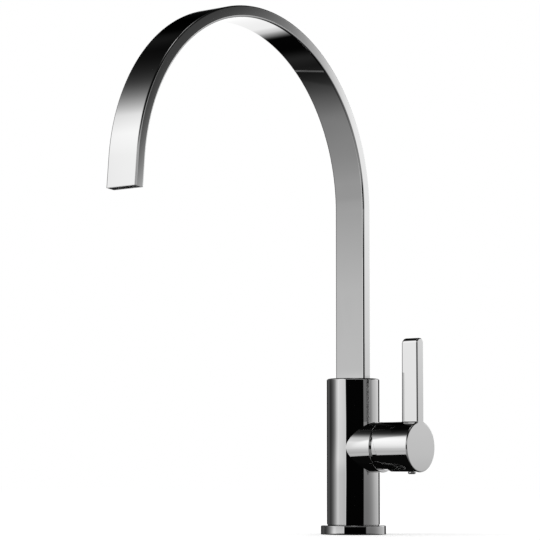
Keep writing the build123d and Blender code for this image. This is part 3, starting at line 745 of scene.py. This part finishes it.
def draw_out(bm, ring, offset):
    """Draws a ring of edges out into a wall and returns the ring at its end."""
    grown = bmesh.ops.extrude_edge_only(bm, edges=only(EDGE, ring))["geom"]
    bmesh.ops.translate(bm, vec=offset, verts=only(VERT, grown))
    return only((VERT, EDGE), grown)


def round_off(bm, radius, chosen, segments=4, affect="EDGES"):
    bmesh.ops.bevel(bm, geom=chosen, offset=radius, segments=segments, profile=0.5,
                    affect=affect, material=-1)


spout_low, spout_high = frame_box("spout_tube")
TUBE_WIDTH, TUBE_DEPTH, TUBE_FOOT, TUBE_CORNER = 2 * spout_high[0], 2 * spout_high[1], spout_low[2], 1.4
RISER_TOP, BEND_RADIUS, BEND, BEND_STEPS, STRAIGHT_END = 248.67, 131.71, radians(175.08), 180, 21.24
PAST_BEND = Matrix.Rotation(BEND, 4, "X")

bm = bmesh.new()
section = Matrix.Translation((0, 0, TUBE_FOOT)) @ Matrix.Diagonal((TUBE_WIDTH, TUBE_DEPTH, 1, 1))
bmesh.ops.create_grid(bm, x_segments=1, y_segments=1, size=0.5, matrix=section)
round_off(bm, TUBE_CORNER, bm.verts[:], segments=8, affect="VERTICES")
bmesh.ops.delete(bm, geom=bm.faces[:], context="FACES_ONLY")
ring = draw_out(bm, bm.edges[:], (0, 0, RISER_TOP - TUBE_FOOT))
ring = bmesh.ops.spin(bm, geom=ring, axis=(1, 0, 0), cent=(0, -BEND_RADIUS, RISER_TOP),
                      angle=BEND, steps=BEND_STEPS)["geom_last"]
draw_out(bm, ring, PAST_BEND @ Vector((0, 0, STRAIGHT_END)))
faces_outwards(bm)
print("spout:", len(bm.faces), "faces, section", TUBE_WIDTH, "by", TUBE_DEPTH, "mm")

# %% [markdown]
# The skin gets its wall on the inside, and the four sharp rims at its ends are broken.
#
# Then the drawing becomes a piece. It is scaled to metres, its place stays in its mesh,
# and it rides on the body whose solid it stands for. The shading is smooth, with sharp
# edges where two faces really meet at an angle, and large flat faces lead the shading
# of the roundings beside them, or a flat of chrome would mirror as if it were swollen.

# %% Spout, walled and finished
TUBE_WALL, END_ROUNDING = 0.8, 0.25
CREASE = radians(32)            # edges that turn more than this stay sharp in the shading
FLAT_FACES_LEAD = 90            # how far large faces outweigh small ones, 50 being even


def ridges(bm, steeper_than=50, where=lambda middle: True):
    """The outward edges that are sharper than an angle and lie where asked."""
    return [edge for edge in bm.edges
            if edge.is_manifold and edge.is_convex and edge.calc_face_angle() > radians(steeper_than)
            and where((edge.verts[0].co + edge.verts[1].co) / 2)]


def piece(name, bm, body, surface, stands_for):
    """Turns a shape drawn in millimetres into an object that rides on its body."""
    bmesh.ops.scale(bm, vec=(MM, MM, MM), verts=bm.verts)
    faces_outwards(bm)
    open_edges = sum(not edge.is_manifold for edge in bm.edges)
    made = as_object(name, bm)
    made.data.shade_smooth()
    made.data.set_sharp_from_angle(angle=CREASE)
    made.data.materials.append(surface)
    weighted = made.modifiers.new("flat_faces_lead", "WEIGHTED_NORMAL")
    weighted.keep_sharp = True
    weighted.weight = FLAT_FACES_LEAD
    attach(made, body)
    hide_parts(stands_for)
    low, high = frame_box(stands_for)
    print(name, len(made.data.polygons), "faces,", open_edges, "open edges, size",
          [round(side, 2) for side in made.dimensions / MM],
          "frame", [round(top - bottom, 2) for bottom, top in zip(low, high)])


bmesh.ops.solidify(bm, geom=bm.faces[:], thickness=TUBE_WALL)
faces_outwards(bm)
round_off(bm, END_ROUNDING, ridges(bm, 70), segments=3)
piece("spout_bent_tube", bm, "spout", chrome, "spout_tube")

# %% [markdown]
# ## The outlet
#
# Tap water leaves through two long slots and filtered water through a hole between them,
# so the two never mix. The black moulded insert that holds them fills the spout's mouth.
# One could cut the slots out of a block with a Boolean, but a face drawn with its holes
# stays clean: the face is a grid of cells, two cells are left out for the slots, and the
# middle ones give way to a round hole.

# %% Outlet face
INSERT_WIDTH, INSERT_HEIGHT, FILTER_HOLE = 25.3, 6.8, 2.45
SLOT_START, SLOT_END, SLOT_HEIGHT = 3.7, 10.7, 3.4
COLUMNS = (-INSERT_WIDTH / 2, -SLOT_END, -SLOT_START, SLOT_START, SLOT_END, INSERT_WIDTH / 2)
ROWS = (-INSERT_HEIGHT / 2, -SLOT_HEIGHT / 2, SLOT_HEIGHT / 2, INSERT_HEIGHT / 2)
WIDE, HIGH = len(COLUMNS) - 1, len(ROWS) - 1

bm = bmesh.new()
bmesh.ops.create_grid(bm, x_segments=WIDE, y_segments=HIGH, size=0.5,
                      matrix=Matrix.Diagonal((WIDE, HIGH, 1, 1)))
for vert in bm.verts:
    vert.co.xy = COLUMNS[round(vert.co.x + WIDE / 2)], ROWS[round(vert.co.y + HIGH / 2)]
centres = {face: face.calc_center_median() for face in bm.faces}
slots = [face for face, centre in centres.items()
         if SLOT_START < abs(centre.x) < SLOT_END and abs(centre.y) < SLOT_HEIGHT / 2]
middle = [face for face, centre in centres.items() if abs(centre.x) < SLOT_START]
bmesh.ops.delete(bm, geom=slots, context="FACES")
middle, = bmesh.ops.dissolve_faces(bm, faces=middle)["region"]
outline = middle.edges[:]
bmesh.ops.delete(bm, geom=[middle], context="FACES_ONLY")
hole = bmesh.ops.create_circle(bm, segments=40, radius=FILTER_HOLE)["verts"]
bmesh.ops.bridge_loops(bm, edges=outline + list({edge for vert in hole for edge in vert.link_edges}))
faces_outwards(bm)
print("outlet face:", len(bm.faces), "faces round", len(slots), "slots and a hole")

# %% [markdown]
# The face is pushed back into a block, the slots' ends are rounded, and the block is put
# in the mouth. It takes the same path as the tube: out to the bend's centre, round by
# the bend, and on along the straight end, less what it is set back.

# %% Outlet insert
INSERT_LENGTH, RECESS, SLOT_CORNER, MOUTH_ROUNDING, NEAR = 10.0, 1.0, 1.6, 0.2, 0.1


def push(bm, faces, offset, keep_start=False):
    """Pushes flat faces out into a bar and returns the faces at its new end."""
    grown = bmesh.ops.extrude_face_region(bm, geom=faces)["geom"]
    if not keep_start:
        bmesh.ops.delete(bm, geom=faces, context="FACES_ONLY")
    bmesh.ops.translate(bm, vec=offset, verts=only(VERT, grown))
    return only(FACE, grown)


def at_slot(place):
    return (abs(place.y) < SLOT_HEIGHT / 2 + NEAR
            and SLOT_START - NEAR < abs(place.x) < SLOT_END + NEAR)


push(bm, bm.faces[:], (0, 0, -INSERT_LENGTH), keep_start=True)
faces_outwards(bm)
slot_corners = [edge for edge in bm.edges if at_slot(edge.verts[0].co)
                and abs(edge.verts[0].co.z - edge.verts[1].co.z) > INSERT_LENGTH / 2]
round_off(bm, SLOT_CORNER, slot_corners, segments=8)
round_off(bm, MOUTH_ROUNDING, ridges(bm, where=lambda middle: middle.z > -NEAR), segments=3)
in_mouth = (Matrix.Translation((0, -BEND_RADIUS, RISER_TOP)) @ PAST_BEND
            @ Matrix.Translation((0, BEND_RADIUS, STRAIGHT_END - RECESS)))
bmesh.ops.transform(bm, matrix=in_mouth, verts=bm.verts)
piece("outlet_mouth_insert", bm, "spout", black_plastic, "outlet_insert")

# %% [markdown]
# ## The handle
#
# The handle is one casting: a round barrel, as thick as the housing behind it, with a
# flat upright bar that grows out of its end. Their end faces lie in one plane, so both
# outlines are drawn there together, as one flat face. That leaves no seam between them,
# which a polished casting hasn't either.

# %% Handle, seen from its end
handle_low, handle_high = frame_box("handle")
REAR_X, FACE_X, BARREL, BAR_TOP = handle_low[0], handle_high[0], -handle_low[1], handle_high[2]
AXIS_HEIGHT = handle_low[2] + BARREL
BARREL_TOP = AXIS_HEIGHT + BARREL
BAR_DEPTH, BAR_TOP_CORNER = 8.6, 3.6
HAIR = 0.01                     # closer than this, two places are the same

bm = bmesh.new()
end_plane = Matrix.Translation((FACE_X, 0, AXIS_HEIGHT)) @ Matrix.Rotation(pi / 2, 4, "Y")
bmesh.ops.create_circle(bm, cap_ends=True, segments=256, radius=BARREL, matrix=end_plane)
above = [vert for vert in bm.verts if vert.co.z > AXIS_HEIGHT]
bar_foot = AXIS_HEIGHT + (BARREL ** 2 - (BAR_DEPTH / 2) ** 2) ** 0.5
for side in (-BAR_DEPTH / 2, BAR_DEPTH / 2):
    nearest = min(above, key=lambda vert: abs(vert.co.y - side))
    nearest.co.yz = side, bar_foot
foot = [vert for vert in above if abs(vert.co.y) < BAR_DEPTH / 2 + HAIR]
top = [bm.verts.new((FACE_X, side, BAR_TOP)) for side in (BAR_DEPTH / 2, -BAR_DEPTH / 2)]
bm.faces.new(sorted(foot, key=lambda vert: vert.co.y) + top)
round_off(bm, BAR_TOP_CORNER, top, segments=12, affect="VERTICES")
faces_outwards(bm)
print("handle's end:", len(bm.faces), "faces,", len(bm.verts), "points")

# %% [markdown]
# Both outlines are pushed back by the bar's width. From there the disc goes on alone, in
# steps: back to the rear edge, in again by the barrel's wall down to the hollow's floor,
# out to the end of the hub, and into the hub's hole, which holds the stem's end. The
# rear is then cut away on a slant below, so that the handle can tip.

# %% Barrel, hollow and hub
BAR_WIDTH = 14.35
BARREL_WALL, HOLLOW_FLOOR_X, HUB, HUB_END_X, HUB_WALL, HUB_HOLE_X = 1.52, 57.56, 9.0, 51.0, 2.3, 56.0
RELIEF, RELIEF_X = radians(18.5), 32.6
BACK_X = FACE_X - BAR_WIDTH
REAR_STEPS = (                  # how far each step lies inside the one before, and its place
    (0, REAR_X), (BARREL_WALL, HOLLOW_FLOOR_X), (BARREL - BARREL_WALL - HUB, HUB_END_X),
    (HUB_WALL, HUB_HOLE_X))


def cut_away(bm, point, outwards):
    """Cuts away what lies beyond a plane and returns the edges of the cut."""
    everything = bm.verts[:] + bm.edges[:] + bm.faces[:]
    cut = bmesh.ops.bisect_plane(bm, geom=everything, plane_co=point, plane_no=outwards, clear_outer=True)
    return only(EDGE, cut["geom_cut"])


ends = push(bm, bm.faces[:], (-BAR_WIDTH, 0, 0), keep_start=True)
disc = min(ends, key=lambda face: face.calc_center_bounds().z)
reached = BACK_X
for inset, place in REAR_STEPS:
    if inset:
        bmesh.ops.inset_individual(bm, faces=[disc], thickness=inset, use_even_offset=True)
    disc, = push(bm, [disc], (place - reached, 0, 0))
    reached = place

seams = [edge for edge in bm.edges if edge.calc_face_angle() < 0.001
         and min(vert.co.x for vert in edge.verts) > FACE_X - HAIR]
bmesh.ops.dissolve_edges(bm, edges=seams)
slant = cut_away(bm, (RELIEF_X, 0, AXIS_HEIGHT), (-cos(RELIEF), 0, -sin(RELIEF)))
bmesh.ops.edgeloop_fill(bm, edges=slant)
faces_outwards(bm)
print("casting:", len(bm.faces), "faces before its edges are rounded")

# %% [markdown]
# Polishing rounds every edge of a casting, and on chrome each rounding catches a thin
# bright line. The front outline and the bar's edges get the most, the edges out of
# reach of the wheel less.
#
# The bar's back corner, at its top, is rounder than the rest. A bevel that large would
# run into the roundings beside it. So cuts across the tip give it more points there, and
# these are lowered along a quarter circle, most at the very top.

# %% Roundings of the handle
POLISHED, UNPOLISHED, BACK_CORNER, CUTS = 1.15, 0.3, 2.4, 7
CUTS_REACH, LOWERING_REACHES = 5, 9     # millimetres down from the bar's top

round_off(bm, POLISHED, ridges(bm, where=lambda middle: middle.x > FACE_X - HAIR), segments=6)
round_off(bm, POLISHED, ridges(bm, where=lambda middle: middle.z > BARREL_TOP), segments=4)
round_off(bm, UNPOLISHED, ridges(bm), segments=2)
for step in range(1, CUTS + 1):
    tip = [face for face in bm.faces if max(vert.co.z for vert in face.verts) > BAR_TOP - CUTS_REACH]
    tip_verts = list({vert for face in tip for vert in face.verts})
    tip_edges = list({edge for face in tip for edge in face.edges})
    bmesh.ops.bisect_plane(bm, geom=tip_verts + tip_edges + tip, plane_no=(1, 0, 0),
                           plane_co=(BACK_X + BACK_CORNER * step / CUTS, 0, 0))
for vert in bm.verts:
    inside = min(BACK_CORNER, max(0, BACK_CORNER - (vert.co.x - BACK_X)))
    drop = BACK_CORNER - (BACK_CORNER ** 2 - inside ** 2) ** 0.5
    vert.co.z -= drop * max(0, (vert.co.z - BAR_TOP + LOWERING_REACHES) / LOWERING_REACHES)
print("handle rounded by", POLISHED, "mm, its back corner by", BACK_CORNER, "mm")

# %% [markdown]
# Where the bar meets the barrel, a casting has a small hollow rounding. The bevel takes
# it like any other edge, once the inward edges of that line are picked out.

# %% Foot of the bar
FOOT_ROUNDING = 0.8

foot_line = [edge for edge in bm.edges
             if edge.is_manifold and not edge.is_convex and edge.calc_face_angle() > radians(40)
             and min(vert.co.x for vert in edge.verts) > BACK_X - NEAR
             and min(vert.co.z for vert in edge.verts) > BARREL_TOP - 1]
print("edges along the bar's foot", len(foot_line))
round_off(bm, FOOT_ROUNDING, foot_line, segments=3)
piece("lever_handle_shell", bm, "lever_handle", chrome, "handle")

# %% [markdown]
# ## Plug
#
# A small domed plug closes the hole under the barrel where the set screw holds the
# handle on its stem. It is a short rod, rounded at its lower end.

# %% Plug
plug_low, plug_high = frame_box("handle_plug")
PLUG, PLUG_ROUNDING = 3.05, 1.1
PLUG_X, PLUG_BOTTOM, PLUG_TOP = plug_high[0] - PLUG, plug_low[2], plug_high[2]

bm = bmesh.new()
bmesh.ops.create_cone(bm, cap_ends=True, segments=72, radius1=PLUG, radius2=PLUG,
                      depth=PLUG_TOP - PLUG_BOTTOM,
                      matrix=Matrix.Translation((PLUG_X, 0, (PLUG_BOTTOM + PLUG_TOP) / 2)))
round_off(bm, PLUG_ROUNDING, ridges(bm, where=lambda middle: middle.z < PLUG_BOTTOM + NEAR), segments=6)
piece("set_screw_plug", bm, "lever_handle", chrome, "handle_plug")

# %% [markdown]
# ## Flange
#
# The flange at the foot is turned from bar: its groove holds the gasket, and its lip
# drops into the worktop's hole. What comes off a lathe is best made like on a lathe: half
# of its section is drawn once and spun round the upright axis.

# %% Flange
flange_low, flange_high = frame_box("base_flange")
FLANGE, FLANGE_TOP, LIP_BOTTOM = flange_high[0], flange_high[2], flange_low[2]
FLANGE_BORE, LIP, GROOVE_IN, GROOVE_OUT, GROOVE_TOP = 16.05, 17.2, 19.5, 22.5, 2
FLANGE_ROUNDING, BROKEN_EDGE = 0.9, 0.25


def spun(profile, steps=128):
    """A lathe piece: corners given as (radius, height), spun once round the upright axis."""
    bm = bmesh.new()
    corners = [bm.verts.new((radius, 0, height)) for radius, height in profile]
    for first, second in zip(corners, corners[1:] + corners[:1]):
        bm.edges.new((first, second))
    bmesh.ops.spin(bm, geom=bm.verts[:] + bm.edges[:], axis=(0, 0, 1), cent=(0, 0, 0),
                   angle=2 * pi, steps=steps, use_merge=True)
    bmesh.ops.remove_doubles(bm, verts=bm.verts, dist=1e-4)
    faces_outwards(bm)
    return bm


bm = spun(((FLANGE_BORE, LIP_BOTTOM), (LIP, LIP_BOTTOM), (LIP, 0), (GROOVE_IN, 0), (GROOVE_IN, GROOVE_TOP),
           (GROOVE_OUT, GROOVE_TOP), (GROOVE_OUT, 0), (FLANGE, 0), (FLANGE, FLANGE_TOP),
           (FLANGE_BORE, FLANGE_TOP)), steps=192)
rim = ridges(bm, where=lambda middle: middle.z > FLANGE_TOP - NEAR and middle.xy.length > FLANGE - 1)
round_off(bm, FLANGE_ROUNDING, rim, segments=6)
round_off(bm, BROKEN_EDGE, ridges(bm), segments=2)
piece("foot_flange", bm, "tap_body", chrome, "base_flange")

# %% [markdown]
# ## Threaded shank
#
# Under the worktop hangs a brass pipe with a thread. The thread is one groove that
# climbs 1.5 mm on each turn. A stack of rings would be simpler, but no nut could climb
# it. So one tooth is drawn and spun upwards like a spring, and the turn is copied
# upwards until it fills the shank. Both ends are then cut level.

# %% Thread
shank_low, shank_high = frame_box("threaded_shank")
SHANK, SHANK_TOP, THREAD_LOW, THREAD_HIGH = shank_high[0], shank_high[2], shank_low[2], -4.5
THREAD_PITCH, THREAD_DEPTH, TURN_STEPS = 1.5, 0.85, 48
ROOT = SHANK - THREAD_DEPTH
TOOTH = ((ROOT, 0), (ROOT, 0.3), (SHANK, 0.78), (SHANK, 0.97), (ROOT, THREAD_PITCH))
TOOTH_START = THREAD_LOW - 1.4 * THREAD_PITCH

bm = bmesh.new()
tooth = [bm.verts.new((radius, 0, TOOTH_START + rise)) for radius, rise in TOOTH]
for first, second in zip(tooth, tooth[1:]):
    bm.edges.new((first, second))
bmesh.ops.spin(bm, geom=bm.verts[:] + bm.edges[:], axis=(0, 0, 1), cent=(0, 0, 0), angle=2 * pi,
               steps=TURN_STEPS, dvec=(0, 0, THREAD_PITCH / TURN_STEPS))
one_turn = bm.verts[:] + bm.edges[:] + bm.faces[:]
turns = int((THREAD_HIGH - THREAD_LOW) / THREAD_PITCH) + 3     # the spare turns are cut off again
for turn in range(1, turns):
    copied = bmesh.ops.duplicate(bm, geom=one_turn)["geom"]
    bmesh.ops.translate(bm, vec=(0, 0, THREAD_PITCH * turn), verts=only(VERT, copied))
bmesh.ops.remove_doubles(bm, verts=bm.verts, dist=0.002)
faces_outwards(bm)
low_end = cut_away(bm, (0, 0, THREAD_LOW), (0, 0, -1))
high_end = cut_away(bm, (0, 0, THREAD_HIGH), (0, 0, 1))
print("thread:", turns, "turns,", len(low_end), "edges on the lower end,", len(high_end), "on the upper")

# %% [markdown]
# The thread is only a skin. Circles for the smooth neck above it and for the bore are
# joined to its two ends, ring to ring, until the pipe is closed.

# %% Neck and bore
BORE = 13.3


def circle(bm, radius, height):
    ring = bmesh.ops.create_circle(bm, segments=TURN_STEPS, radius=radius,
                                   matrix=Matrix.Translation((0, 0, height)))
    return list({edge for vert in ring["verts"] for edge in vert.link_edges})


neck = circle(bm, SHANK, THREAD_HIGH)
shank_top = circle(bm, SHANK, SHANK_TOP)
low_bore = circle(bm, BORE, THREAD_LOW)
high_bore = circle(bm, BORE, SHANK_TOP)
for first, second in ((low_end, low_bore), (low_bore, high_bore), (high_end, neck),
                      (neck, shank_top), (shank_top, high_bore)):
    bmesh.ops.bridge_loops(bm, edges=first + second)
bmesh.ops.holes_fill(bm, edges=[edge for edge in bm.edges if edge.is_boundary], sides=12)
piece("threaded_pipe", bm, "tap_body", brass, "threaded_shank")

# %% [markdown]
# ## Washers
#
# A rubber and a steel washer spread the nut's pull under the worktop. Both are flat
# rings with slightly rounded edges, so one loop spins them, each as thick as its solid.

# %% Washers
WASHER_BORE, WASHER_ROUNDING = 16.5, 0.4

for name, slot, surface, stands_for in (
        ("rubber_washer", "seal_rubber", rubber, "clamp_rubber_washer"),
        ("steel_washer", "stainless", steel, "clamp_steel_washer")):
    low, high = frame_box(stands_for)
    bm = spun(((WASHER_BORE, low[2]), (high[0], low[2]), (high[0], high[2]), (WASHER_BORE, high[2])))
    round_off(bm, WASHER_ROUNDING, ridges(bm), segments=3)
    piece(name, bm, "clamp", surface, stands_for)

# %% [markdown]
# ## Nut
#
# A real nut starts as a round, its end faces sloped off towards the corners, and gets
# its six flats last. Made in the same order, the curved line where slope and flat meet
# comes by itself.

# %% Six-sided nut
nut_low, nut_high = frame_box("fixing_nut")
NUT_BOTTOM, NUT_TOP, ACROSS_FLATS = nut_low[2], nut_high[2], 2 * nut_high[1]
NUT_BORE, NUT_ROUND, NUT_FACE, NUT_SLOPE, NUT_ROUNDING = 16.05, 23.8, 21.4, 1.3, 0.6

bm = spun(((NUT_BORE, NUT_BOTTOM), (NUT_FACE, NUT_BOTTOM), (NUT_ROUND, NUT_BOTTOM + NUT_SLOPE),
           (NUT_ROUND, NUT_TOP - NUT_SLOPE), (NUT_FACE, NUT_TOP), (NUT_BORE, NUT_TOP)), steps=96)
round_off(bm, NUT_ROUNDING, ridges(bm, where=lambda middle: middle.xy.length < NUT_BORE + 1), segments=2)
for side in range(6):
    turn = radians(60 * side + 30)
    outwards = Vector((cos(turn), sin(turn), 0))
    flat = cut_away(bm, outwards * ACROSS_FLATS / 2, outwards)
    bmesh.ops.edgeloop_fill(bm, edges=flat)
piece("six_sided_nut", bm, "clamp", brass, "fixing_nut")
